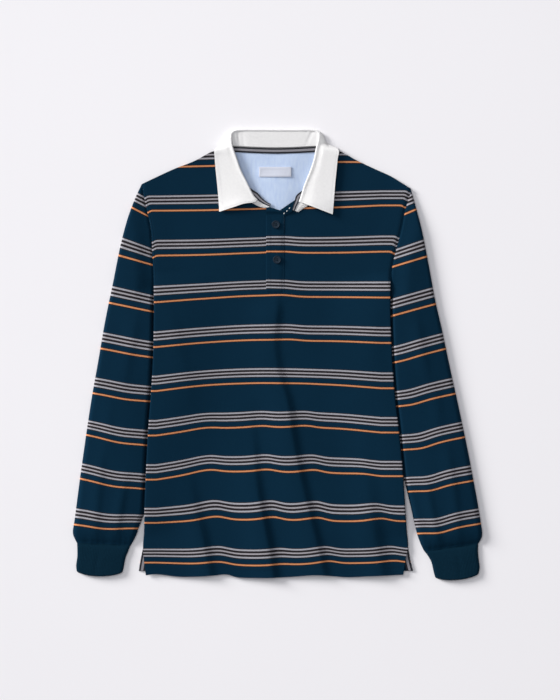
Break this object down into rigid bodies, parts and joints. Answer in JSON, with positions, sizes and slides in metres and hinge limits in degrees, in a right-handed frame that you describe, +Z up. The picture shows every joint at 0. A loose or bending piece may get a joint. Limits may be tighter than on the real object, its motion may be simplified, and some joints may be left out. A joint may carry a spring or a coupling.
{
  "type": "long-sleeve polo shirt",
  "caption": "Long-sleeve rugby-style polo shirt laid flat, face up, with a white woven collar, buttoned half placket, striped jersey body and sleeves, ribbed cuffs and side vents.",
  "frame": {"origin": "on the table, under the middle of the laid-out shirt's bounding box", "axes": "+Z up from the table, +Y from the hem towards the collar, +X towards the wearer's left sleeve, which is the viewer's right"},
  "size_m": [0.6952, 0.7664, 0.0144],
  "materials": {
    "striped_jersey": "navy cotton jersey with woven-in grey, dark brown and orange stripes",
    "navy_rib": "navy cotton rib",
    "white_twill": "white cotton twill",
    "blue_chambray": "light blue woven cotton",
    "striped_tape": "navy and grey twill tape",
    "woven_label": "plain white satin weave",
    "navy_button": "navy resin with a soft gloss"
  },
  "bodies": {
    "root": {"front_body": "striped_jersey", "back_body": "striped_jersey", "sleeve_left": "striped_jersey", "sleeve_right": "striped_jersey", "placket_upper": "striped_jersey", "placket_under": "striped_jersey", "cuff_left": "navy_rib", "cuff_right": "navy_rib", "collar_stand": "white_twill", "collar_fall": "white_twill", "neck_facing": "blue_chambray", "neck_tape": "striped_tape", "vent_tape_left": "striped_tape", "vent_tape_right": "striped_tape", "label": "woven_label", "button_upper": "navy_button", "button_lower": "navy_button"}
  },
  "joints": []
}
